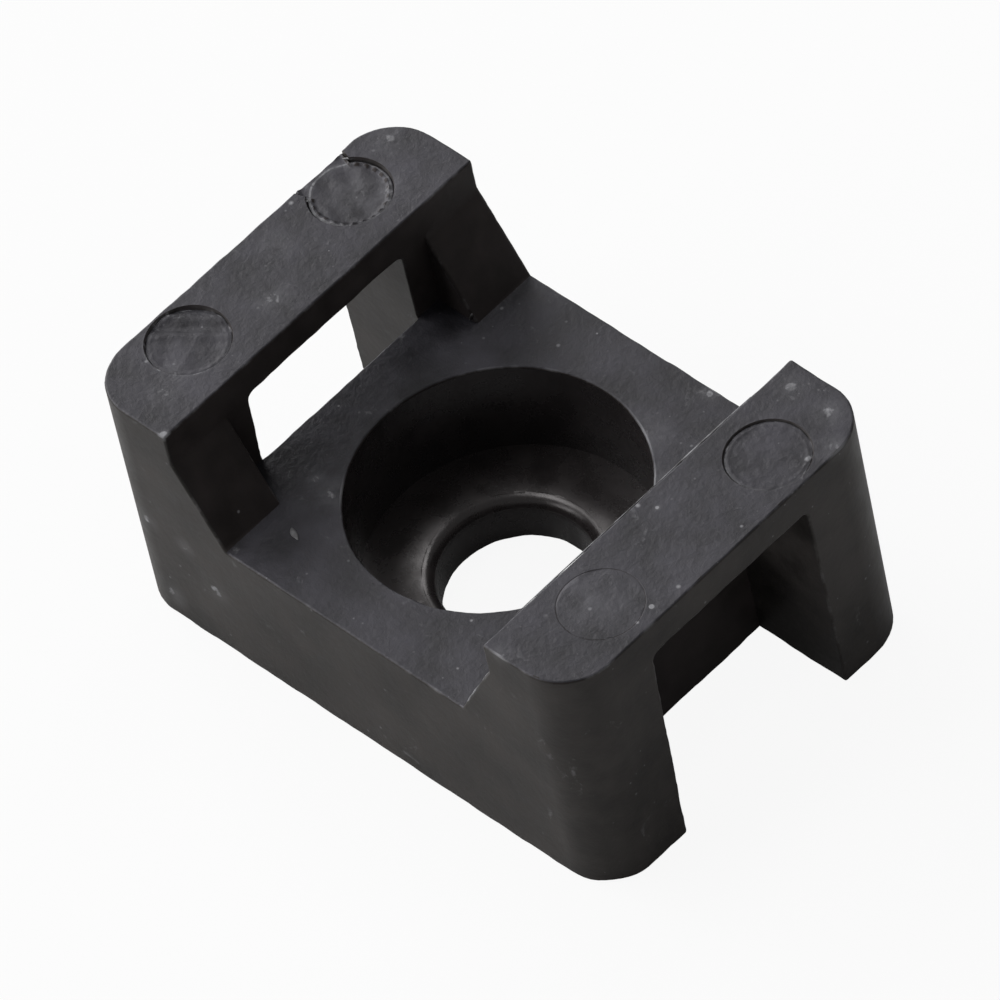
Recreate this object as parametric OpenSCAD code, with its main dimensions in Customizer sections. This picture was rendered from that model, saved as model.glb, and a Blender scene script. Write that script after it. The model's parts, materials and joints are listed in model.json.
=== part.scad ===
// Saddle mount for cable ties: one black nylon moulding, held down by one screw.
// A solid block carries the screw in a deep counterbore. At each end a bridge bar stands
// on two legs that are flush with the block's sides, and gussets brace the legs from inside.
// A tie lies over the block and passes under both bars.
// Millimetres. The origin is on the screw hole's axis, in the bottom face.
// X runs from bar to bar, Y along the bars, Z up.

/* [Body] */
// Length over the two bars
body_length = 24; // [21:0.5:32]
// Width, along the bars
body_width = 16; // [14:0.5:22]
// Height to the top of the bars
body_height = 11.3; // [9:0.1:14]
// Height of the block between the bars
block_height = 6.3; // [4:0.1:8]
// Radius of the four upright corners
corner_radius = 2.1; // [0.5:0.1:3.5]

/* [Bridge bars and tie slots] */
// Width of a bar, across its length
bar_width = 4.2; // [2.5:0.1:5.5]
// Thickness of a bar above its slot
bar_thickness = 1.5; // [1:0.1:2.5]
// Width of a slot at the bar's underside
slot_width = 8; // [5:0.1:9.5]
// Slope of a slot's sides, which spread towards the bottom, in degrees
slot_draft = 1.1; // [0:0.1:3]
// Radius of a slot's two upper corners
slot_corner_radius = 0.35; // [0.1:0.05:1]

/* [Gussets] */
// Thickness of a gusset, inwards from the block's side
gusset_thickness = 2.85; // [1.5:0.05:3.8]
// How far a gusset's foot runs over the block from its leg
gusset_run = 1.95; // [0.5:0.05:2.5]

/* [Screw hole] */
// Diameter of the hole that the screw's shank passes
screw_hole_d = 5.8; // [4:0.1:7]
// Diameter of the counterbore for the screw's head
counterbore_d = 11.2; // [9.5:0.1:12.5]
// Thickness of the seat under the screw's head
seat_thickness = 1.95; // [1.2:0.05:3]
// Radius that rounds the seat into the screw hole
lip_radius = 0.55; // [0.2:0.05:0.9]

/* [Ejector marks] */
// Diameter of the round marks in the tops of the bars
mark_d = 3.2; // [2:0.1:3.6]
// Depth of a mark
mark_depth = 0.25; // [0.1:0.05:0.5]
// Distance of a mark's centre from the end face
mark_inset = 1.85; // [1.2:0.05:2.2]
// Distance between the two marks on a bar
mark_spacing = 8.4; // [6:0.1:10]

/* [Hidden] */
$fn = 96;

// How far a cutting shape runs past the face that it opens
over = 1;

half_length = body_length / 2;
half_width = body_width / 2;
// End wall of the block and inner face of the bar, in one plane
wall_x = half_length - bar_width;
// Underside of the bars
slot_top = body_height - bar_thickness;
bore_r = screw_hole_d / 2;

// Outline from above: a rectangle with round corners
module plan() {
    square([body_length, body_width - 2 * corner_radius], center = true);
    square([body_length - 2 * corner_radius, body_width], center = true);
    for (x = [-1, 1], y = [-1, 1])
        translate([x * (half_length - corner_radius), y * (half_width - corner_radius)])
            circle(r = corner_radius);
}

// Places a profile drawn in X and Z, as thick as depth along Y and centred on it
module along_y(depth) {
    translate([0, depth / 2, 0])
        rotate([90, 0, 0])
            linear_extrude(height = depth)
                children();
}

// Space between the bars, from side to side. Its slopes are the gussets' backs.
module saddle_cut() {
    along_y(body_width + 2 * over)
        polygon([
            [-wall_x, body_height + over],
            [-wall_x, slot_top],
            [gusset_run - wall_x, block_height],
            [wall_x - gusset_run, block_height],
            [wall_x, slot_top],
            [wall_x, body_height + over]
        ]);
}

// The same space between the gussets, where it reaches the end walls
module gusset_gap_cut() {
    translate([-wall_x, gusset_thickness - half_width, block_height])
        cube([2 * wall_x, body_width - 2 * gusset_thickness, body_height + over - block_height]);
}

// Section of a slot across the width: sides that spread downwards, round upper corners
module slot_profile() {
    spread = tan(slot_draft);
    slant = sqrt(1 + spread * spread);
    foot = slot_width / 2 + spread * (slot_top + over);
    corner_y = slot_width / 2 + slot_corner_radius * (spread - slant);
    corner_z = slot_top - slot_corner_radius;
    side_y = corner_y + slot_corner_radius / slant;
    side_z = corner_z + slot_corner_radius * spread / slant;
    polygon([
        [-foot, -over],
        [foot, -over],
        [side_y, side_z],
        [corner_y, slot_top],
        [-corner_y, slot_top],
        [-side_y, side_z]
    ]);
    for (y = [-1, 1])
        translate([y * corner_y, corner_z])
            circle(r = slot_corner_radius);
}

// Slot under a bar, open at the end face and at the bottom
module tie_slot_cut() {
    translate([wall_x, 0, 0])
        rotate([90, 0, 90])
            linear_extrude(height = bar_width + over)
                slot_profile();
}

// Half section of the screw hole: bore, rounded lip, seat and counterbore
module screw_hole_profile() {
    lip_x = bore_r + lip_radius;
    lip_z = seat_thickness - lip_radius;
    translate([0, seat_thickness])
        square([counterbore_d / 2, block_height + over - seat_thickness]);
    translate([0, -over])
        square([bore_r, block_height + 2 * over]);
    difference() {
        translate([0, lip_z])
            square([lip_x, lip_radius + over]);
        translate([lip_x, lip_z])
            circle(r = lip_radius);
    }
}

module screw_hole_cut() {
    rotate_extrude()
        screw_hole_profile();
}

// Shallow round mark that an ejector pin leaves in a bar's top
module ejector_mark_cut() {
    translate([0, 0, body_height - mark_depth])
        cylinder(d = mark_d, h = mark_depth + over);
}

module mount_body() {
    color([0.09, 0.088, 0.09])
        difference() {
            linear_extrude(height = body_height)
                plan();
            saddle_cut();
            gusset_gap_cut();
            screw_hole_cut();
            for (end = [0, 1])
                mirror([end, 0, 0])
                    tie_slot_cut();
            for (x = [-1, 1], y = [-1, 1])
                translate([x * (half_length - mark_inset), y * mark_spacing / 2, 0])
                    ejector_mark_cut();
        }
}

mount_body();
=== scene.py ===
"""Finishes the cable tie mount around its CAD frame: one black nylon moulding on a pale floor.

Metres, in the frame of the CAD: X from bar to bar, Y along the bars, Z up, and the origin in the
bottom face on the screw hole's axis.
"""

import json
import math
from typing import NamedTuple

import bmesh
import bpy
import numpy as np
from bpy.props import FloatProperty, FloatVectorProperty, IntProperty, PointerProperty
from mathutils import Matrix, Vector


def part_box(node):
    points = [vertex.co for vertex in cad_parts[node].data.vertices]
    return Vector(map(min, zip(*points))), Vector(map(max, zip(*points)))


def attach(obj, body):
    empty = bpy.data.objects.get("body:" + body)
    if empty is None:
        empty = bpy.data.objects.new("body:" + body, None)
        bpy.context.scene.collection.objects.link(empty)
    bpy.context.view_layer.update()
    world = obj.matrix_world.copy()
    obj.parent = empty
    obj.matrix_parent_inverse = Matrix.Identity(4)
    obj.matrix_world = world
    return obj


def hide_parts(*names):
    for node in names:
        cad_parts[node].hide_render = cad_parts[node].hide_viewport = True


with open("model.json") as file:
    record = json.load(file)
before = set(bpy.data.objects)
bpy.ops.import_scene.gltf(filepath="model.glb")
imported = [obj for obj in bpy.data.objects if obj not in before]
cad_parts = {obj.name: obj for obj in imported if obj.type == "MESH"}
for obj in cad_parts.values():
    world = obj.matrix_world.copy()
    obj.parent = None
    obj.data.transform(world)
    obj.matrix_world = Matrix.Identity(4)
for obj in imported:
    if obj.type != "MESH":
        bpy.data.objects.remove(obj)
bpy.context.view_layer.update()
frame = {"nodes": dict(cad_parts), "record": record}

bl_info = {
    "name": "Cable Tie Mount",
    "version": (1, 0, 0),
    "blender": (4, 5, 0),
    "location": "3D View > Sidebar > Tie Mount",
    "description": "Finishes a moulded nylon saddle mount for cable ties",
    "category": "Object",
}

MM = 0.001
NODE = "mount_body"
BODY = "root"
PIECE = "moulded_body"
LOW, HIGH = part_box(NODE)
COUNTERBORE = next(mount for mount in frame["record"]["mounts"] if mount["name"] == "counterbore")
# Height of the block between the bars
BLOCK_TOP = 6.3 * MM
# Points that lie closer together than this are one point
MERGE = 0.001 * MM

# While the body is built, its faces say whether they are flat or part of a rounded edge
FLAT, ROUND = range(2)


# Sizes and colours that a user would change


class BodySettings(bpy.types.PropertyGroup):
    """Sizes of the moulding's edges."""

    edge_radius: FloatProperty(
        name="Edge radius",
        description="Radius of the moulding's outer edges",
        default=0.1 * MM,
        min=0.02 * MM,
        unit="LENGTH",
    )
    edge_segments: IntProperty(
        name="Edge segments",
        description="Faces across a rounded edge",
        default=4,
        min=2,
    )
    edge_step: FloatProperty(
        name="Edge step",
        description="Distance between the points of a rounded edge along its length",
        default=0.22 * MM,
        min=0.05 * MM,
        unit="LENGTH",
    )
    edge_wander: FloatProperty(
        name="Edge wander",
        description="How far an edge strays from its even round, in and out",
        default=0.018 * MM,
        min=0,
        unit="LENGTH",
    )


class MarkSettings(bpy.types.PropertyGroup):
    """Sizes of the ejector marks in the tops of the bars: left far, left near, right far, right near."""

    diameter: FloatProperty(
        name="Diameter",
        description="Diameter of an ejector mark",
        default=3.16 * MM,
        unit="LENGTH",
    )
    filled_depth: FloatProperty(
        name="Filled depth",
        description="Depth of the plain marks in the CAD solid, which are filled before the new ones",
        default=0.25 * MM,
        unit="LENGTH",
    )
    insets: FloatVectorProperty(
        name="Insets",
        description="Distance of each mark's centre from the end face",
        size=4,
        default=(1.62 * MM, 1.73 * MM, 1.9 * MM, 2.08 * MM),
        unit="LENGTH",
    )
    offsets: FloatVectorProperty(
        name="Offsets",
        description="Distance of each mark's centre from the middle of its bar",
        size=4,
        default=(4.3 * MM, -4.2 * MM, 4.3 * MM, -4.16 * MM),
        unit="LENGTH",
    )
    depths: FloatVectorProperty(
        name="Depths",
        description="Depth of each mark",
        size=4,
        default=(0.27 * MM, 0.16 * MM, 0.11 * MM, 0.014 * MM),
        unit="LENGTH",
    )
    breakouts: FloatVectorProperty(
        name="Breakouts",
        description="How far each mark has broken out towards the end face",
        size=4,
        default=(0.6 * MM, 0, 0, 0),
        unit="LENGTH",
    )
    hollows: FloatVectorProperty(
        name="Hollows",
        description="Height of the uneven hollows in each mark's floor",
        size=4,
        default=(0.08 * MM, 0.03 * MM, 0.03 * MM, 0.022 * MM),
        unit="LENGTH",
    )
    beads: FloatVectorProperty(
        name="Beads",
        description="Height of the row of beads inside each mark's rim",
        size=4,
        default=(0.13 * MM, 0.03 * MM, 0.03 * MM, 0),
        unit="LENGTH",
    )
    ridges: FloatVectorProperty(
        name="Ridges",
        description="Height of the straight ridges in each mark's floor",
        size=4,
        default=(0.008 * MM, 0.045 * MM, 0.004 * MM, 0),
        unit="LENGTH",
    )


class NylonSettings(bpy.types.PropertyGroup):
    """Colours and texture of the black nylon."""

    top_colour: FloatVectorProperty(
        name="Top colour",
        description="Colour of the grained upper faces",
        subtype="COLOR",
        default=(0.0176, 0.0169, 0.0209),
        min=0,
        max=1,
    )
    side_colour: FloatVectorProperty(
        name="Side colour",
        description="Colour of the outer walls",
        subtype="COLOR",
        default=(0.021, 0.0188, 0.0178),
        min=0,
        max=1,
    )
    # Lighter than the outer walls though these faces lie in shade: painted fill light in the slots and under
    # the bars
    inner_colour: FloatVectorProperty(
        name="Inner colour",
        description="Colour of the slots and the gussets",
        subtype="COLOR",
        default=(0.0225, 0.019, 0.0186),
        min=0,
        max=1,
    )
    hole_colour: FloatVectorProperty(
        name="Hole colour",
        description="Colour of the screw hole and its counterbore",
        subtype="COLOR",
        default=(0.0175, 0.015, 0.0154),
        min=0,
        max=1,
    )
    # Lighter than the rest of the black nylon: painted light that lifts the seat inside the dark counterbore
    seat_colour: FloatVectorProperty(
        name="Seat colour",
        description="Colour of the seat for the screw's head",
        subtype="COLOR",
        default=(0.025, 0.0215, 0.0215),
        min=0,
        max=1,
    )
    # Pale colour of wear, which also paints the highlights along the marks' rims and on the burrs
    scuff_and_highlight_colour: FloatVectorProperty(
        name="Scuff colour",
        description="Colour of scuffed nylon, which turns pale",
        subtype="COLOR",
        default=(0.2, 0.2, 0.21),
        min=0,
        max=1,
    )
    grain_size: FloatProperty(
        name="Grain size",
        description="Size of a grain in the spark-eroded texture",
        default=0.15 * MM,
        unit="LENGTH",
    )


class StageSettings(bpy.types.PropertyGroup):
    """Camera, floor and lamps."""

    azimuth: FloatProperty(
        name="Azimuth",
        description="Direction of the camera round the mount; 0 looks along +Y and 90 along -X",
        default=math.radians(53.3),
        subtype="ANGLE",
    )
    elevation: FloatProperty(
        name="Elevation",
        description="Height of the camera above the horizon",
        default=math.radians(49.7),
        subtype="ANGLE",
    )
    roll: FloatProperty(
        name="Roll",
        description="Turn of the camera about its own axis, clockwise as it looks",
        default=math.radians(13.0),
        subtype="ANGLE",
    )
    distance: FloatProperty(
        name="Distance",
        description="Distance of the camera from the middle of the mount",
        default=468 * MM,
        unit="LENGTH",
    )
    lens: FloatProperty(
        name="Lens",
        description="Focal length for a picture 36 mm wide",
        default=474,
        unit="CAMERA",
    )
    floor_colour: FloatVectorProperty(
        name="Floor colour",
        description="Colour of the floor",
        subtype="COLOR",
        default=(0.63, 0.63, 0.63),
        min=0,
        max=1,
    )
    room_light: FloatProperty(
        name="Room light",
        description="Brightness of the even light from the room, where 1 is white",
        default=0.22,
        min=0,
    )
    floor_whiteness: FloatProperty(
        name="Floor whiteness",
        description="How far the floor looks plain white, from 0, as it is lit, to 1",
        default=0.92,
        min=0,
        max=1,
        subtype="FACTOR",
    )
    floor_reflection: FloatProperty(
        name="Floor reflection",
        description="Share of that whiteness that shows in reflections",
        default=0.03,
        min=0,
        max=1,
        subtype="FACTOR",
    )


# Shared helpers


def settings(name):
    """One group of settings of the scene."""
    return getattr(bpy.context.scene, "tie_mount_" + name)


def new_object(name, mesh):
    """An object for a mesh, in the scene and at the origin."""
    piece = bpy.data.objects.new(name, mesh)
    bpy.context.scene.collection.objects.link(piece)
    return piece


def mesh_from(name, points, faces):
    """A mesh of points and faces, with its normals turned outwards."""
    mesh = bpy.data.meshes.new(name)
    mesh.from_pydata(np.reshape(points, (-1, 3)).tolist(), [], faces)
    solid = bmesh.new()
    solid.from_mesh(mesh)
    bmesh.ops.recalc_face_normals(solid, faces=solid.faces)
    solid.to_mesh(mesh)
    solid.free()
    return mesh


def rows(items, field):
    """A field of three numbers, such as a point or a normal, as an array with a row for each item."""
    values = np.empty(3 * len(items))
    items.foreach_get(field, values)
    return values.reshape(-1, 3)


def column(items, field, kind=int):
    """A field of one number, as an array with an entry for each item."""
    values = np.empty(len(items), dtype=kind)
    items.foreach_get(field, values)
    return values


def apply_modifiers(piece):
    """Replaces the piece's mesh by what its modifiers make of it."""
    shown = piece.evaluated_get(bpy.context.evaluated_depsgraph_get())
    mesh = bpy.data.meshes.new_from_object(shown)
    mesh.name = piece.name
    piece.modifiers.clear()
    piece.data = mesh


def built_body():
    """The moulding, which the later steps work on."""
    body = bpy.data.objects.get(PIECE)
    if body is None:
        raise RuntimeError("The moulded body has to be built first")
    return body


def waves(points, wavelength, seed, count=7):
    """Smooth unevenness between about -1 and 1 at each point.

    It is the sum of sine waves in random directions, at lengths from 0.6 to 1.6 wavelengths.
    """
    draw = np.random.default_rng(seed)
    directions = draw.normal(size=(count, 3))
    directions /= np.linalg.norm(directions, axis=1)[:, None]
    lengths = wavelength * draw.uniform(0.6, 1.6, count)
    phases = draw.uniform(0, 2 * np.pi, count)
    angles = points @ (directions * (2 * np.pi / lengths)[:, None]).T + phases
    return np.sin(angles).sum(axis=1) / math.sqrt(2 * count)


def band_faces(rings, turns):
    """The four-sided faces between rings of points, which follow each other with turns points in each."""
    first = np.arange(rings - 1)[:, None] * turns
    turn = np.arange(turns)
    after = (turn + 1) % turns
    quads = np.stack([first + turn, first + after, first + turns + after, first + turns + turn], axis=2)
    return quads.reshape(-1, 4).tolist()


# The moulding


# The mesh of the CAD body is merged into flat faces where its triangles turn by less than this
FLAT_ANGLE = math.radians(1)
# An outer edge that turns by more than this is rounded
SHARP_ANGLE = math.radians(40)
# Lengths of the waves along which the rounded edges stray
LONG_WAVE = 1.6 * MM
SHORT_WAVE = 0.5 * MM


def closed_copy(depth):
    """The CAD body as a bmesh of merged flat faces, with its ejector marks filled in.

    A mark's floor is the only thing just below the bars' tops. Lifted to the top, it closes the mark.
    """
    solid = bmesh.new()
    solid.from_mesh(frame["nodes"][NODE].data)
    bmesh.ops.remove_doubles(solid, verts=solid.verts, dist=MERGE)
    for vertex in solid.verts:
        if HIGH.z - 1.2 * depth < vertex.co.z < HIGH.z:
            vertex.co.z = HIGH.z
    bmesh.ops.remove_doubles(solid, verts=solid.verts, dist=MERGE)
    bmesh.ops.dissolve_degenerate(solid, dist=0.1 * MERGE, edges=solid.edges)
    bmesh.ops.dissolve_limit(solid, angle_limit=FLAT_ANGLE, verts=solid.verts, edges=solid.edges)
    return solid


def weigh_outer_edges(solid, step):
    """Divides the body's sharp outer edges into steps, and weighs them for the Bevel modifier."""
    weight = solid.edges.layers.float.new("bevel_weight_edge")
    outer = [edge for edge in solid.edges if edge.is_convex and edge.calc_face_angle() > SHARP_ANGLE]
    groups = {}
    for edge in outer:
        edge[weight] = 1
        groups.setdefault(int(edge.calc_length() / step), []).append(edge)
    for cuts, edges in groups.items():
        if cuts:
            bmesh.ops.bisect_edges(solid, edges=edges, cuts=cuts)


def within_edges(mesh):
    """True for each vertex that lies inside a rounded edge and touches no flat face."""
    vertex = column(mesh.loops, "vertex_index")
    corners = column(mesh.polygons, "loop_total")
    material = column(mesh.polygons, "material_index")
    inner = np.ones(len(mesh.vertices), dtype=bool)
    inner[vertex[np.repeat(material == FLAT, corners)]] = False
    return inner


def wander(mesh, inner, reach):
    """Moves the inner points of the rounded edges in and out along their normals.

    The way is reach times the sum of long random waves and 0.6 of short ones. Nothing leaves the CAD
    body's box, so an edge is at most as sharp as the CAD's own.
    """
    points = rows(mesh.vertices, "co")
    sway = waves(points, LONG_WAVE, seed=3) + 0.6 * waves(points, SHORT_WAVE, seed=4)
    points[inner] += (reach * sway)[inner, None] * rows(mesh.vertex_normals, "vector")[inner]
    points = np.clip(points, LOW, HIGH)
    mesh.vertices.foreach_set("co", points.ravel())
    mesh.update()


class TIE_MOUNT_OT_body(bpy.types.Operator):
    """Build the moulding: the CAD body with rounded, slightly uneven edges"""

    bl_idname = "tie_mount.body"
    bl_label = "Moulded Body"

    def execute(self, context):
        sizes = settings("body")
        solid = closed_copy(settings("marks").filled_depth)
        weigh_outer_edges(solid, sizes.edge_step)
        for face in solid.faces:
            face.material_index = FLAT
        mesh = bpy.data.meshes.new(PIECE)
        solid.to_mesh(mesh)
        solid.free()
        for name in ("flat", "round"):
            mesh.materials.append(bpy.data.materials.new(name))
        body = new_object(PIECE, mesh)
        rounding = body.modifiers.new("Rounded edges", "BEVEL")
        rounding.limit_method = "WEIGHT"
        rounding.width = sizes.edge_radius
        rounding.segments = sizes.edge_segments
        rounding.use_clamp_overlap = False
        rounding.material = ROUND
        apply_modifiers(body)
        inner = within_edges(body.data)
        wander(body.data, inner, sizes.edge_wander)
        edge = body.data.attributes.new("edge", "FLOAT", "POINT")
        edge.data.foreach_set("value", inner.astype(np.float32))
        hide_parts(NODE)
        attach(body, BODY)
        return {"FINISHED"}


# The ejector marks


def lathed(name, centre, radius, height):
    """A closed solid of revolution round an upright axis through centre.

    radius and height have a row for each ring, from the lower pole to the upper, and a column for
    each turn. The point of ring r and turn t lies at (radius cos t, radius sin t, height).
    """
    ring_count, turns = radius.shape
    angles = np.linspace(0, 2 * np.pi, turns, endpoint=False)
    rings = np.stack([radius * np.cos(angles), radius * np.sin(angles), height], axis=2)
    poles = [(0, 0, height[0].mean()), (0, 0, height[-1].mean())]
    points = np.vstack([rings.reshape(-1, 3), poles]) + np.array(centre)
    turn = np.arange(turns)
    after = (turn + 1) % turns
    last = (ring_count - 1) * turns
    lower = np.stack([np.full(turns, last + turns), after, turn], axis=1)
    upper = np.stack([last + turn, last + after, np.full(turns, last + turns + 1)], axis=1)
    faces = band_faces(ring_count, turns) + lower.tolist() + upper.tolist()
    return mesh_from(name, points, faces)


def bar_side(place):
    """-1 for a mark on the left bar and 1 for one on the right."""
    return -1 if place < 2 else 1


def mark_centre(place, sizes):
    """The middle of a mark, in the plane of the bars' tops."""
    return (bar_side(place) * (HIGH.x - sizes.insets[place]), sizes.offsets[place], HIGH.z)


def mark_rim(place, sizes, angles):
    """The radius of a mark's rim at each angle.

    The rim is out of round by three slight lobes. Where the cosine of its angle to the end face is
    over 0.74, it runs out by the breakout, because the thin wall beside the mark has broken away.
    """
    rim = sizes.diameter / 2 * (1 + 0.006 * np.sin(3 * angles + place))
    rim += sizes.breakouts[place] * np.clip((bar_side(place) * np.cos(angles) - 0.74) / 0.08, 0, 1) ** 0.5
    return rim


def mark_floor(place, sizes, share, rim, angles):
    """The height of a mark's floor at each share of the way to its rim, and at each angle.

    It is the depth, plus creased hollows, which are random waves with their troughs folded up, plus
    straight sine ridges on one half, plus a ring of 24 beads at 0.9 of the radius.
    """
    x, y = share * rim * np.cos(angles), share * rim * np.sin(angles)
    spots = np.stack([x, y, 0 * x], axis=2).reshape(-1, 3)
    folded = 1.2 - np.abs(waves(spots, 2.2 * MM, seed=place)) - 0.3 * waves(spots, 0.5 * MM, seed=place + 9)
    upwards = 0.8 * y - 0.6 * x
    ridges = np.sin(upwards * (2 * np.pi / (0.9 * MM))) * np.clip(upwards / (0.6 * MM) + 0.3, 0, 1)
    beads = np.exp(-(((share - 0.9) / 0.045) ** 2)) * (0.6 + 0.4 * np.sin(24 * angles))
    height = sizes.hollows[place] * folded.reshape(x.shape) + sizes.ridges[place] * ridges
    return height - sizes.depths[place] + sizes.beads[place] * beads


def mark_cutter(place, sizes, turns=96):
    """The recess that an ejector pin leaves: an uneven floor and a wall that leans slightly outwards.

    The floor's rings run from the middle to the rim. Above them the wall's rings climb to the bar's
    top, and on past it, and the last one closes the cutter.
    """
    angles = np.linspace(0, 2 * np.pi, turns, endpoint=False)
    rim = mark_rim(place, sizes, angles)
    share = np.linspace(0.03, 0.99, 32)[:, None]
    depth = sizes.depths[place]
    wall_out = np.array([0, 0.01, 0.045, 0.05, -0.4])[:, None] * MM
    wall_z = np.array([-depth, -0.3 * depth, 0, 0.6 * MM, 0.6 * MM])[:, None] + 0 * angles
    radius = np.vstack([share * rim, rim + wall_out])
    height = np.vstack([mark_floor(place, sizes, share, rim, angles), wall_z])
    return lathed("mark_cutter", mark_centre(place, sizes), radius, height)


# How far around a mark, and how far below the bar's top, its points lie
MARK_MARGIN = 0.08 * MM
MARK_DEPTH_LIMIT = 0.5 * MM


def clear_edges_around_marks(mesh, sizes):
    """Unmarks as edges the points that the marks have cut into the tops of the bars."""
    points = rows(mesh.vertices, "co")
    edge = column(mesh.attributes["edge"].data, "value", np.float32)
    edge[points[:, 2] > HIGH.z - MERGE] = 0
    near_top = points[:, 2] > HIGH.z - MARK_DEPTH_LIMIT
    for place in range(len(sizes.insets)):
        away = np.hypot(*(points[:, :2] - mark_centre(place, sizes)[:2]).T)
        edge[near_top & (away < sizes.diameter / 2 + MARK_MARGIN)] = 0
    mesh.attributes["edge"].data.foreach_set("value", edge)


class TIE_MOUNT_OT_marks(bpy.types.Operator):
    """Press the four ejector marks into the tops of the bars"""

    bl_idname = "tie_mount.marks"
    bl_label = "Ejector Marks"

    def execute(self, context):
        sizes = settings("marks")
        body = built_body()
        cutters = []
        for place in range(len(sizes.insets)):
            cutters.append(new_object("mark_cutter", mark_cutter(place, sizes)))
            cut = body.modifiers.new("Ejector mark", "BOOLEAN")
            cut.operation = "DIFFERENCE"
            cut.solver = "EXACT"
            cut.object = cutters[-1]
        apply_modifiers(body)
        clear_edges_around_marks(body.data, sizes)
        for cutter in cutters:
            bpy.data.objects.remove(cutter)
        return {"FINISHED"}


class Sliver(NamedTuple):
    """A thin burr of nylon from one point to another, with its width and height, in millimetres."""

    name: str
    start: tuple
    end: tuple
    width: float
    height: float


SLIVERS = (
    Sliver("flash along the bar's edge", (7.8, -6.5, 11.27), (7.8, 1.0, 11.27), width=0.06, height=0.04),
    Sliver("flash beside the hole", (7.8, 0.4, 11.27), (7.8, 6.0, 11.27), width=0.08, height=0.04),
    Sliver("burr on the gusset's edge", (5.95, -7.93, 6.45), (7.1, -7.93, 8.55), width=0.12, height=0.1),
    Sliver("burr at the end of the gusset", (7.2, -7.92, 8.7), (7.78, -7.9, 9.75), width=0.09, height=0.07),
    Sliver("nick at the far gusset's foot", (-6.2, 5.1, 6.3), (-5.95, 5.1, 6.85), width=0.12, height=0.1),
    Sliver("lifted chip on the block", (-4.75, -5.75, 6.32), (-4.15, -6.05, 6.32), width=0.22, height=0.07),
    Sliver("burr beside the broken mark", (-11.85, 2.6, 11.22), (-11.3, 3.15, 11.22), width=0.2, height=0.07),
    Sliver("burr beyond the broken mark", (-11.2, 5.75, 11.22), (-11.75, 5.3, 11.2), width=0.12, height=0.07),
)


def sliver_arrays(sliver, seed, stations=15, turns=8):
    """The points and faces of a sliver: a ring of points round each station of its path.

    The ring's half width and half height swell and fade as a sine along the path. The path wanders
    sideways by random waves, so that no two slivers are alike.
    """
    start, end = np.array(sliver.start) * MM, np.array(sliver.end) * MM
    along = (end - start) / np.linalg.norm(end - start)
    across = np.cross(along, (0, 0, 1))
    across /= np.linalg.norm(across)
    lift = np.cross(across, along)
    share = np.linspace(0.02, 0.98, stations)[:, None, None]
    angles = np.linspace(0, 2 * np.pi, turns, endpoint=False)[None, :, None]
    path = start + share * (end - start)
    wandering = waves(path.reshape(-1, 3), 0.6 * MM, seed).reshape(-1, 1, 1)
    swell = np.sin(np.pi * share) ** 0.6 * (1 + 0.35 * wandering)
    ring = sliver.width / 2 * np.cos(angles) * across + sliver.height / 2 * np.sin(angles) * lift
    points = path + swell * ring * MM + 0.12 * wandering * sliver.width * MM * across
    near_end = list(range(turns))[::-1]
    far_end = list(range((stations - 1) * turns, stations * turns))
    return points.reshape(-1, 3), band_faces(stations, turns) + [near_end, far_end]


class TIE_MOUNT_OT_slivers(bpy.types.Operator):
    """Leave the thin burrs that the mould's parting edges made"""

    bl_idname = "tie_mount.slivers"
    bl_label = "Flash and Burrs"

    def execute(self, context):
        points, faces = [], []
        for seed, sliver in enumerate(SLIVERS):
            spots, corners = sliver_arrays(sliver, seed)
            faces += [[len(points) + corner for corner in face] for face in corners]
            points += spots.tolist()
        mesh = mesh_from("slivers", np.array(points), faces)
        mesh.shade_smooth()
        piece = new_object("slivers", mesh)
        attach(piece, BODY)
        return {"FINISHED"}


# The nylon's finishes


class Finish(NamedTuple):
    """How one kind of mould surface has left the nylon.

    colour names the setting that holds its colour, and tint and sheen are its specular colour and
    level. waves, grain, lines and dish are heights in millimetres: of slow waves, of spark-eroded grain,
    of upright lines from leaving the mould, and of the hollow around the screw hole. scuffs, specks and
    mottle are shares from 0 to 1.
    """

    name: str
    colour: str
    tint: tuple
    sheen: float
    roughness: float
    waves: float
    grain: float
    lines: float = 0.0
    scuffs: float = 0.0
    specks: float = 0.0
    mottle: float = 0.2
    dish: float = 0.0


FINISHES = (
    Finish(
        name="Grained nylon",
        colour="top_colour",
        tint=(0.98, 0.96, 1.0),
        sheen=0.4,
        roughness=0.52,
        waves=0.045,
        grain=0.035,
        scuffs=0.6,
        specks=0.35,
        mottle=0.5,
    ),
    Finish(
        name="Drawn nylon",
        colour="side_colour",
        tint=(1.0, 0.96, 0.93),
        sheen=0.22,
        roughness=0.46,
        waves=0.03,
        grain=0.01,
        lines=0.002,
        scuffs=0.5,
        specks=0.07,
        mottle=0.32,
    ),
    # Its colour carries painted fill light, lighter than the outer walls though these faces lie in shade
    Finish(
        name="Smooth nylon",
        colour="inner_colour",
        tint=(1.0, 0.94, 0.93),
        sheen=0.12,
        roughness=0.5,
        waves=0.02,
        grain=0.006,
        lines=0.001,
        scuffs=0.1,
        specks=0.02,
    ),
    Finish(
        name="Hole nylon",
        colour="hole_colour",
        tint=(1.0, 0.95, 0.95),
        sheen=0.38,
        roughness=0.28,
        waves=0.02,
        grain=0.003,
    ),
    # Its colour carries painted light, lighter than the rest of the nylon
    Finish(
        name="Ledge nylon",
        colour="seat_colour",
        tint=(1.0, 0.96, 0.96),
        sheen=0.75,
        roughness=0.28,
        waves=0.05,
        grain=0.003,
        specks=0.02,
        dish=0.075,
    ),
)
GRAINED, DRAWN, INNER, HOLE, SEAT = range(len(FINISHES))
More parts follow.
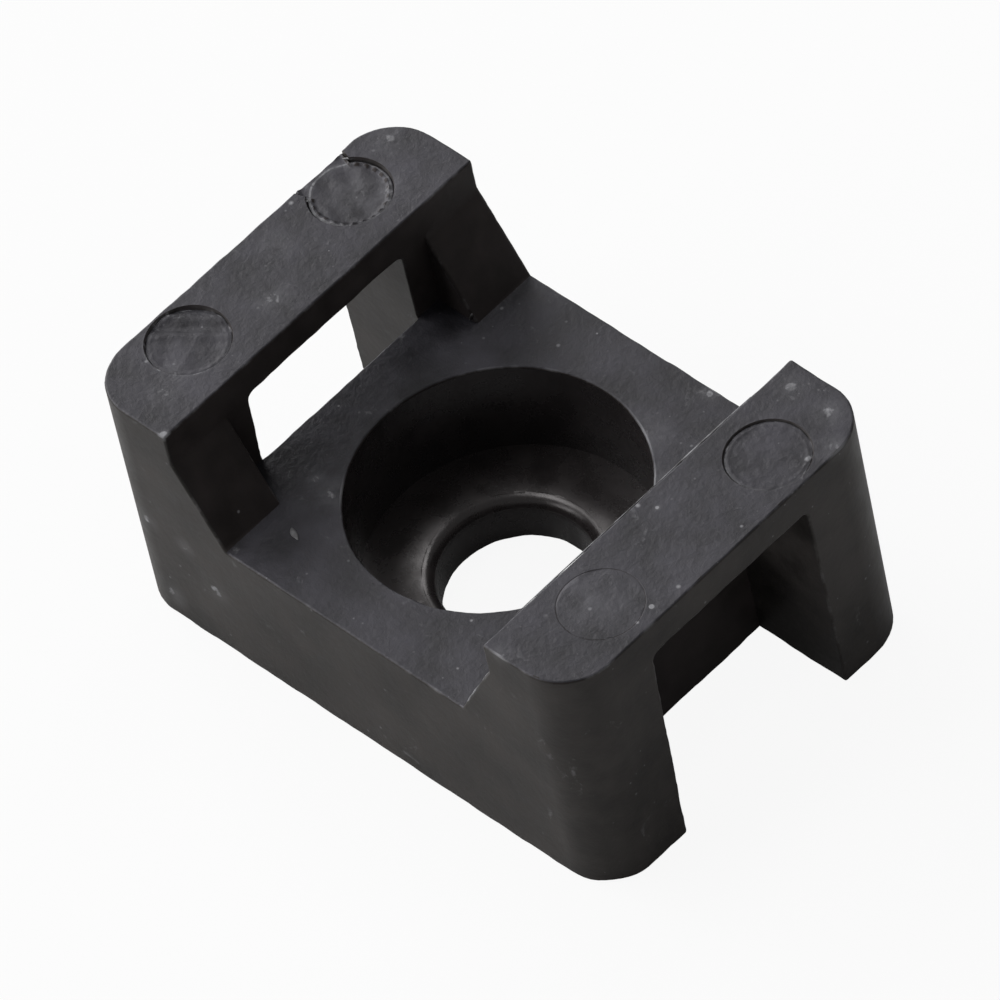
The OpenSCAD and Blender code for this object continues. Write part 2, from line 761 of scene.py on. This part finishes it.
# The seat's hollow deepens from the first of these radii to the second, at the hole's rounded lip
DISH_EDGE = 4.4 * MM
LIP_EDGE = 3.4 * MM

# Sizes of the lumps in each of the nylon's patterns
WAVE_SIZE = 1.1 * MM
MOTTLE_SIZE = 0.55 * MM
RUB_SIZE = 0.7 * MM
STROKE_SIZE = 0.2 * MM
LINE_SIZE = 0.2 * MM
TEAR_SIZE = 0.3 * MM
# Scale that draws a pattern out into upright lines, 20 times as long as they are wide
UPRIGHT = (1, 1, 0.05)
# Spacing of the large and of the small specks, and the largest one's radius as a part of it
LARGE_SPECKS = (0.9 * MM, 0.14)
SMALL_SPECKS = (0.4 * MM, 0.2)
# How far the roughness drifts to each side of a finish's own
GLOSS_DRIFT = 0.07
# Faces that turn by less than this are shaded as one smooth surface
SMOOTH_ANGLE = math.radians(35)


def node(tree, kind, inputs, **options):
    """A new shader node. Each input is a plain value, or another node's output to link."""
    made = tree.nodes.new("ShaderNode" + kind)
    for name, value in options.items():
        setattr(made, name, value)
    for name, value in inputs.items():
        if isinstance(value, bpy.types.NodeSocket):
            tree.links.new(value, made.inputs[name])
        else:
            made.inputs[name].default_value = value
    return made


def noise(tree, place, size, detail=2.0, roughness=0.5, distortion=0.0):
    """Smooth random values from 0 to 1 whose lumps are about as large as size."""
    made = node(
        tree,
        "TexNoise",
        {
            "Vector": place,
            "Scale": 0.5 / size,
            "Detail": detail,
            "Roughness": roughness,
            "Distortion": distortion,
        },
    )
    return made.outputs["Fac"]


def math_node(tree, operation, *values):
    """The result of a Math node."""
    return node(tree, "Math", dict(enumerate(values)), operation=operation).outputs[0]


def ramp(tree, value, low, high, to_low=0.0, to_high=1.0):
    """The value, taken from the range low to high and held inside the range to_low to to_high."""
    ends = {"From Min": low, "From Max": high, "To Min": to_low, "To Max": to_high}
    return node(tree, "MapRange", {"Value": value, **ends}, clamp=True).outputs[0]


def mix_colour(tree, factor, first, second):
    """The first colour where the factor is 0, and the second where it is 1."""
    mixed = node(tree, "Mix", {"Factor": factor}, data_type="RGBA")
    for name, value in (("A", first), ("B", second)):
        socket = next(entry for entry in mixed.inputs if entry.name == name and entry.type == "RGBA")
        if isinstance(value, bpy.types.NodeSocket):
            tree.links.new(value, socket)
        else:
            socket.default_value = value
    return next(entry for entry in mixed.outputs if entry.type == "RGBA")


def dots(tree, place, spacing, largest, share):
    """Soft round dots: at most one in each cell of the given spacing, and only in a share of the cells.

    The largest dot's radius is that part of the spacing.
    """
    cells = node(tree, "TexVoronoi", {"Vector": place, "Scale": 1 / spacing, "Randomness": 1.0})
    lot, girth = node(tree, "SeparateColor", {"Color": cells.outputs["Color"]}).outputs[:2]
    reach = ramp(tree, girth, 0, 1, 0.25 * largest, largest)
    inside = math_node(tree, "SUBTRACT", 1, math_node(tree, "DIVIDE", cells.outputs["Distance"], reach))
    chosen = ramp(tree, lot, 1 - share, 1 - 0.7 * share)
    return math_node(tree, "MULTIPLY", ramp(tree, inside, 0, 0.7), chosen)


class ScuffAndHighlight(NamedTuple):
    """A scuffed place: its centre and reach in millimetres, and how far the pale strokes cover it.

    Where it has a ring, it lies along a circle of that radius around its centre. The ringed ones, and the
    place on the left far mark's inner rim, are not scuffs but painted highlights along the marks' rims.
    """

    name: str
    centre: tuple
    reach: float
    cover: float
    ring: float = 0.0


SCUFFS_AND_HIGHLIGHTS = (
    ScuffAndHighlight("middle of the left bar", (-9.15, -0.95, 11.3), reach=0.9, cover=0.8),
    ScuffAndHighlight("left bar, outer edge", (-10.8, 0.9, 11.3), reach=0.8, cover=0.7),
    ScuffAndHighlight("left bar, near end", (-9.3, -6.5, 11.3), reach=0.8, cover=0.72),
    ScuffAndHighlight("left bar, near inner corner", (-7.95, -7.85, 11.3), reach=0.3, cover=1.1),
    ScuffAndHighlight("left bar, far end", (-10.9, 6.9, 11.3), reach=0.9, cover=0.7),
    # Painted highlight: pale strokes on the left far mark's inner rim, where that rim catches the light
    ScuffAndHighlight("left far mark, inner rim", (-9.35, 5.2, 11.2), reach=0.9, cover=0.75),
    ScuffAndHighlight("left far mark, floor", (-10.2, 4.4, 11.1), reach=1.5, cover=0.6),
    # Painted highlight: a pale arc along the left far mark's rim
    ScuffAndHighlight("left far mark, rim", (-10.38, 4.3, 11.3), reach=0.14, cover=0.85, ring=1.5),
    ScuffAndHighlight("left near mark, near rim", (-9.6, -5.65, 11.3), reach=0.7, cover=0.75),
    # Painted highlight: a pale arc along the left near mark's rim
    ScuffAndHighlight("left near mark, rim", (-10.25, -4.25, 11.3), reach=0.12, cover=0.72, ring=1.58),
    ScuffAndHighlight("right bar, far inner end", (8.65, 7.04, 11.3), reach=0.8, cover=0.78),
    ScuffAndHighlight("right bar, far corner", (10.5, 6.95, 11.3), reach=0.8, cover=0.76),
    ScuffAndHighlight("right bar, far outer edge", (11.72, 5.95, 11.3), reach=0.7, cover=0.76),
    ScuffAndHighlight("right far mark, outer rim", (11.33, 5.06, 11.3), reach=0.5, cover=0.8),
    ScuffAndHighlight("right bar, outer edge", (11.44, -3.17, 11.3), reach=0.18, cover=1.5),
    ScuffAndHighlight("right bar, inner edge", (8.57, 0.2, 11.3), reach=0.16, cover=1.2),
    ScuffAndHighlight("right near mark", (9.75, -4.25, 11.3), reach=1.8, cover=0.5),
    # Painted highlight: a pale arc along the right far mark's rim
    ScuffAndHighlight("right far mark, rim", (10.1, 4.3, 11.3), reach=0.12, cover=0.7, ring=1.55),
    ScuffAndHighlight("right bar, near inner corner", (8.6, -7.9, 11.3), reach=0.6, cover=0.7),
    ScuffAndHighlight("block, far edge", (3.19, 7.75, 6.3), reach=0.45, cover=0.85),
    ScuffAndHighlight("block, beside the near gusset", (-5.6, -3.6, 6.3), reach=0.5, cover=0.7),
    ScuffAndHighlight("counterbore rim, left", (-4.6, -3.65, 6.3), reach=1.0, cover=0.7),
    ScuffAndHighlight("counterbore rim, far right", (2.6, 5.0, 6.3), reach=1.2, cover=0.65),
    ScuffAndHighlight("counterbore rim, right", (4.2, 3.7, 6.3), reach=0.8, cover=0.75),
    ScuffAndHighlight("near side, lower left", (-7.0, -8, 3.3), reach=0.8, cover=0.8),
    ScuffAndHighlight("near side, upper left", (-8.25, -8, 4.9), reach=0.6, cover=0.75),
    ScuffAndHighlight("near side, left corner", (-10.1, -8, 5.1), reach=0.7, cover=0.75),
    ScuffAndHighlight("near side, lower left corner", (-9.7, -8, 1.2), reach=0.9, cover=0.75),
)


def near_scuffs_and_highlights(tree, place):
    """How far a point is scuffed: the largest share of all the scuffed places around it.

    A place's share is its cover within a fifth of its reach, and fades from there to 0 at its reach. The
    shares of the ringed places, and of the left far mark's inner rim, are painted highlights.
    """
    nearest = 0.0
    for scuff in SCUFFS_AND_HIGHLIGHTS:
        centre = tuple(MM * value for value in scuff.centre)
        away = node(tree, "VectorMath", {0: place, 1: centre}, operation="DISTANCE").outputs["Value"]
        # A ring's share lies along a mark's rim, as a painted highlight
        if scuff.ring:
            away = math_node(tree, "ABSOLUTE", math_node(tree, "SUBTRACT", away, scuff.ring * MM))
        share = ramp(tree, away, scuff.reach * MM, 0.2 * scuff.reach * MM, 0, scuff.cover)
        nearest = math_node(tree, "MAXIMUM", nearest, share)
    return nearest


def wear_and_highlight_share(tree, place, finish, mottle, grain):
    """How pale wear has made the nylon, from 0 to 1.

    It is the largest of five shares: rubbed patches that show on the grain's peaks, specks of dust,
    strokes in the scuffed places, the haze around them, and the worn parts of the rounded edges. Where the
    scuffed places lie on the marks' rims, their strokes and haze are painted highlights, not wear.
    """
    rubbed = noise(tree, place, RUB_SIZE, detail=5, roughness=0.72, distortion=0.8)
    patches = ramp(tree, rubbed, 0.7 - 0.14 * finish.scuffs, 0.82 - 0.1 * finish.scuffs, 0, finish.scuffs)
    peaks = ramp(tree, grain, 0.38, 0.62)
    rubbing = math_node(tree, "MULTIPLY", patches, peaks)

    large = dots(tree, place, *LARGE_SPECKS, finish.specks)
    small = dots(tree, place, *SMALL_SPECKS, finish.specks)
    specks = math_node(tree, "MAXIMUM", large, math_node(tree, "MULTIPLY", small, 0.4))

    near = near_scuffs_and_highlights(tree, place) if finish.scuffs else 0.0
    strokes = noise(tree, place, STROKE_SIZE, detail=3, roughness=0.6, distortion=0.5)
    struck = ramp(tree, math_node(tree, "MULTIPLY_ADD", strokes, 0.8, near), 1.1, 1.3)
    haze = math_node(tree, "MULTIPLY", near, ramp(tree, mottle, 0.35, 0.65, 0.0, 0.3))

    edge = node(tree, "Attribute", {}, attribute_name="edge").outputs["Fac"]
    wear = math_node(tree, "MAXIMUM", ramp(tree, mottle, 0.5, 0.72, 0.0, 0.35), near)
    worn = math_node(tree, "MULTIPLY", edge, math_node(tree, "MINIMUM", wear, 1.0))

    pale = rubbing
    for share in (specks, struck, haze, worn):
        pale = math_node(tree, "MAXIMUM", pale, share)
    return pale


def mottled_colour(tree, finish, base, slow, mottle):
    """The colour of clean nylon, which drifts between a darker and a lighter shade of its base."""
    shade = math_node(tree, "MULTIPLY_ADD", slow, 0.6, math_node(tree, "MULTIPLY", mottle, 0.4))
    dark = (*((1 - finish.mottle) * channel for channel in base), 1)
    light = (*((1 + 2 * finish.mottle) * channel for channel in base), 1)
    return mix_colour(tree, ramp(tree, shade, 0.36, 0.68), dark, light)


def dish_depth(tree, place):
    """How far the hollow around the screw hole has sunk: the square of the way from its edge to the lip."""
    flat = node(tree, "VectorMath", {0: place, 1: (1, 1, 0)}, operation="MULTIPLY").outputs[0]
    around = node(tree, "VectorMath", {0: flat}, operation="LENGTH").outputs["Value"]
    return math_node(tree, "POWER", ramp(tree, around, DISH_EDGE, LIP_EDGE), 2.0)


def relief_height(tree, place, finish, slow, grain):
    """The height of the fine relief: slow waves, grain, upright lines and the seat's hollow."""
    upright = node(tree, "Mapping", {"Vector": place, "Scale": UPRIGHT}).outputs[0]
    lines = noise(tree, upright, LINE_SIZE, detail=3, roughness=0.6)
    relief = math_node(tree, "MULTIPLY", slow, finish.waves * MM)
    relief = math_node(tree, "MULTIPLY_ADD", grain, finish.grain * MM, relief)
    relief = math_node(tree, "MULTIPLY_ADD", lines, finish.lines * MM, relief)
    if finish.dish:
        relief = math_node(tree, "MULTIPLY_ADD", dish_depth(tree, place), -finish.dish * MM, relief)
    return relief


def nylon(finish, nylons):
    """Black nylon as one kind of mould surface leaves it, mottled in colour and gloss, and worn."""
    material = bpy.data.materials.new(finish.name)
    material.use_nodes = True
    tree = material.node_tree
    shader = tree.nodes["Principled BSDF"]
    place = node(tree, "TexCoord", {}).outputs["Object"]
    slow = noise(tree, place, WAVE_SIZE)
    mottle = noise(tree, place, MOTTLE_SIZE, detail=4, roughness=0.65)
    grain = noise(tree, place, nylons.grain_size, detail=3, roughness=0.6)

    clean = mottled_colour(tree, finish, getattr(nylons, finish.colour), slow, mottle)
    pale = wear_and_highlight_share(tree, place, finish, mottle, grain)
    # Pale wear, and painted highlights along the marks' rims, mixed in over the clean nylon
    colour = mix_colour(tree, pale, clean, (*nylons.scuff_and_highlight_colour, 1))
    tree.links.new(colour, shader.inputs["Base Color"])
    glossy, dull = finish.roughness - GLOSS_DRIFT, finish.roughness + GLOSS_DRIFT
    dulled = ramp(tree, mottle, 0.3, 0.7, glossy, dull)
    tree.links.new(dulled, shader.inputs["Roughness"])
    relief = relief_height(tree, place, finish, slow, grain)
    bump = node(tree, "Bump", {"Height": relief, "Distance": 1.0, "Strength": 1.0})
    tree.links.new(bump.outputs[0], shader.inputs["Normal"])
    shader.inputs["Specular IOR Level"].default_value = finish.sheen
    shader.inputs["Specular Tint"].default_value = (*finish.tint, 1)
    return material


def torn_nylon_and_highlight(nylons):
    """Torn nylon, pale where it is pulled thin and dark where it isn't. The pale parts are partly
    stress-whitening and partly painted highlight along the burrs.
    """
    material = bpy.data.materials.new("Torn nylon")
    material.use_nodes = True
    tree = material.node_tree
    shader = tree.nodes["Principled BSDF"]
    place = node(tree, "TexCoord", {}).outputs["Object"]
    # Pale patches: partly stress-whitening, partly painted highlight along the burrs
    whitened_and_highlit = ramp(tree, noise(tree, place, TEAR_SIZE, detail=3), 0.35, 0.6)
    colour = mix_colour(tree, whitened_and_highlit, (*nylons.side_colour, 1), (*nylons.scuff_and_highlight_colour, 1))
    tree.links.new(colour, shader.inputs["Base Color"])
    shader.inputs["Roughness"].default_value = 0.45
    return material


# Reaches that take in a little more than the round of an upright corner, and than a bar's width
CORNER_REACH = 2.2 * MM
BAR_REACH = 4.3 * MM
# Faces whose middle lies within this of the end or side faces belong to the outer walls
WALL_REACH = 0.3 * MM


def finish_of_faces(mesh):
    """Which finish each face has: the mould's top and outer walls, its cores, or its polished hole pin."""
    centres = rows(mesh.polygons, "center")
    normals = rows(mesh.polygons, "normal")
    x, y, z = np.abs(centres[:, 0]), np.abs(centres[:, 1]), centres[:, 2]
    up = normals[:, 2]
    within_bore = np.hypot(x, y) < COUNTERBORE["dims"]["r_mm"] * MM + 0.01 * MM
    in_hole = within_bore & (z < BLOCK_TOP - 0.1 * MM) & (z > LOW.z + 0.01 * MM)
    outermost = (x > HIGH.x - WALL_REACH) | (y > HIGH.y - WALL_REACH)
    round_corner = (x > HIGH.x - CORNER_REACH) & (y > HIGH.y - CORNER_REACH) & (np.abs(up) < 0.5)
    wall = (outermost | round_corner) & (up > -0.9)
    leg_side = (np.abs(normals[:, 1]) > 0.9) & (x > HIGH.x - BAR_REACH)
    choices = [in_hole & (up > 0.3), in_hole, up > 0.75, wall | leg_side]
    return np.select(choices, [SEAT, HOLE, GRAINED, DRAWN], INNER)


class TIE_MOUNT_OT_finish(bpy.types.Operator):
    """Give each face of the moulding the finish that the mould left on it"""

    bl_idname = "tie_mount.finish"
    bl_label = "Nylon Finish"

    def execute(self, context):
        nylons = settings("nylon")
        body = built_body()
        # The burrs' pale nylon is partly stress-whitening and partly painted highlight
        bpy.data.objects["slivers"].data.materials.append(torn_nylon_and_highlight(nylons))
        mesh = body.data
        mesh.materials.clear()
        for finish in FINISHES:
            mesh.materials.append(nylon(finish, nylons))
        mesh.polygons.foreach_set("material_index", finish_of_faces(mesh))
        mesh.shade_smooth()
        mesh.set_sharp_from_angle(angle=SMOOTH_ANGLE)
        weighted = body.modifiers.new("Flat faces", "WEIGHTED_NORMAL")
        weighted.keep_sharp = True
        return {"FINISHED"}


# The stage


def aimed(eye, target, roll):
    """The place of a camera or lamp at eye that looks at target, rolled clockwise about its own axis."""
    turn = (target - eye).to_track_quat("-Z", "Y").to_matrix().to_4x4()
    return Matrix.Translation(eye) @ turn @ Matrix.Rotation(-roll, 4, "Z")


def from_angles(azimuth, elevation):
    """The direction from the mount to a camera or lamp."""
    flat = math.cos(elevation)
    return Vector((math.sin(azimuth) * flat, -math.cos(azimuth) * flat, math.sin(elevation)))


def add_camera(stage, target):
    """The scene's camera, which looks at target from the stage's direction and distance."""
    lens = bpy.data.cameras.new("camera")
    lens.lens = stage.lens
    lens.clip_start = 10 * MM
    camera = bpy.data.objects.new("camera", lens)
    bpy.context.scene.collection.objects.link(camera)
    eye = target + stage.distance * from_angles(stage.azimuth, stage.elevation)
    camera.matrix_world = aimed(eye, target, stage.roll)
    bpy.context.scene.camera = camera


class Softbox(NamedTuple):
    """A square lamp: its direction from the mount in degrees, its side in metres, and its brightness.

    The brightness is that of its face, where 1 is white.
    """

    name: str
    azimuth: float
    elevation: float
    size: float
    radiance: float


# Distance of the lamps from the mount, in metres
SOFTBOX_DISTANCE = 0.6
SOFTBOXES = (
    Softbox("window_softbox", azimuth=-98, elevation=29, size=0.5, radiance=3.7),
    Softbox("top_softbox", azimuth=-67, elevation=66, size=0.2, radiance=4.4),
    Softbox("back_softbox", azimuth=-160, elevation=49, size=0.2, radiance=3.5),
    Softbox("front_softbox", azimuth=-48, elevation=17, size=0.65, radiance=3.2),
    Softbox("fill_softbox", azimuth=88, elevation=10, size=0.4, radiance=0.55),
)


def add_softbox(box, target):
    """An area lamp that faces target. Its power is its face's brightness times pi and its area."""
    light = bpy.data.lights.new(box.name, "AREA")
    light.size = box.size
    light.energy = box.radiance * math.pi * box.size * box.size
    lamp = bpy.data.objects.new(box.name, light)
    bpy.context.scene.collection.objects.link(lamp)
    direction = from_angles(math.radians(box.azimuth), math.radians(box.elevation))
    lamp.matrix_world = aimed(target + SOFTBOX_DISTANCE * direction, target, 0)


def floor_material(stage):
    """A pale matt floor, which the camera and reflections see whiter than it is lit."""
    material = bpy.data.materials.new("Pale floor")
    material.use_nodes = True
    tree = material.node_tree
    shader = tree.nodes["Principled BSDF"]
    shader.inputs["Base Color"].default_value = (*stage.floor_colour, 1)
    shader.inputs["Roughness"].default_value = 0.9
    shader.inputs["Specular IOR Level"].default_value = 0.1
    rays = node(tree, "LightPath", {}).outputs
    seen = math_node(tree, "MAXIMUM", rays["Is Camera Ray"], rays["Is Transmission Ray"])
    reflected = math_node(tree, "MULTIPLY", rays["Is Glossy Ray"], stage.floor_reflection)
    seen = math_node(tree, "MAXIMUM", seen, reflected)
    white = node(tree, "Emission", {"Color": (1, 1, 1, 1), "Strength": 1.0}).outputs[0]
    mixed = tree.nodes.new("ShaderNodeMixShader")
    tree.links.new(math_node(tree, "MULTIPLY", seen, stage.floor_whiteness), mixed.inputs[0])
    tree.links.new(shader.outputs[0], mixed.inputs[1])
    tree.links.new(white, mixed.inputs[2])
    tree.links.new(mixed.outputs[0], tree.nodes["Material Output"].inputs["Surface"])
    return material


# Half the side of the floor, in metres
FLOOR_REACH = 2.0
# The floor lies this far under the mount, so that it never shares a plane with the mount's foot
FLOOR_GAP = 0.02 * MM


class TIE_MOUNT_OT_stage(bpy.types.Operator):
    """Set up the pale floor, the soft lamps and the camera"""

    bl_idname = "tie_mount.stage"
    bl_label = "Stage"

    def execute(self, context):
        stage = settings("stage")
        target = (LOW + HIGH) / 2
        add_camera(stage, target)
        level = LOW.z - FLOOR_GAP
        corners = [(x * FLOOR_REACH, y * FLOOR_REACH, level) for x, y in ((-1, -1), (1, -1), (1, 1), (-1, 1))]
        floor = new_object("floor", mesh_from("floor", corners, [(0, 1, 2, 3)]))
        floor.data.materials.append(floor_material(stage))
        for lamp in SOFTBOXES:
            add_softbox(lamp, target)
        world = bpy.data.worlds.new("studio")
        context.scene.world = world
        world.use_nodes = True
        background = world.node_tree.nodes["Background"]
        background.inputs["Color"].default_value = (1, 1, 1, 1)
        background.inputs["Strength"].default_value = stage.room_light
        context.scene.view_settings.view_transform = "Standard"
        return {"FINISHED"}


# Each group of settings in the sidebar, with the steps that use it
PANEL_ROWS = (
    ("body", ("tie_mount.body",)),
    ("marks", ("tie_mount.marks", "tie_mount.slivers")),
    ("nylon", ("tie_mount.finish",)),
    ("stage", ("tie_mount.stage",)),
)


class TIE_MOUNT_PT_sidebar(bpy.types.Panel):
    """Settings and steps of the cable tie mount"""

    bl_idname = "TIE_MOUNT_PT_sidebar"
    bl_label = "Cable Tie Mount"
    bl_space_type = "VIEW_3D"
    bl_region_type = "UI"
    bl_category = "Tie Mount"

    def draw(self, context):
        for name, operators in PANEL_ROWS:
            group = settings(name)
            box = self.layout.box()
            for field in group.bl_rna.properties.keys():
                if field not in ("rna_type", "name"):
                    box.prop(group, field)
            for operator in operators:
                box.operator(operator)


GROUPS = {
    "body": BodySettings,
    "marks": MarkSettings,
    "nylon": NylonSettings,
    "stage": StageSettings,
}
OPERATORS = (
    TIE_MOUNT_OT_body,
    TIE_MOUNT_OT_marks,
    TIE_MOUNT_OT_slivers,
    TIE_MOUNT_OT_finish,
    TIE_MOUNT_OT_stage,
)
CLASSES = (*GROUPS.values(), *OPERATORS, TIE_MOUNT_PT_sidebar)


def register():
    for cls in CLASSES:
        bpy.utils.register_class(cls)
    for name, group in GROUPS.items():
        setattr(bpy.types.Scene, "tie_mount_" + name, PointerProperty(type=group))


def unregister():
    for name in GROUPS:
        delattr(bpy.types.Scene, "tie_mount_" + name)
    for cls in reversed(CLASSES):
        bpy.utils.unregister_class(cls)


def main():
    register()
    bpy.ops.tie_mount.body()
    bpy.ops.tie_mount.marks()
    bpy.ops.tie_mount.slivers()
    bpy.ops.tie_mount.finish()
    bpy.ops.tie_mount.stage()


if __name__ == "__main__":
    main()
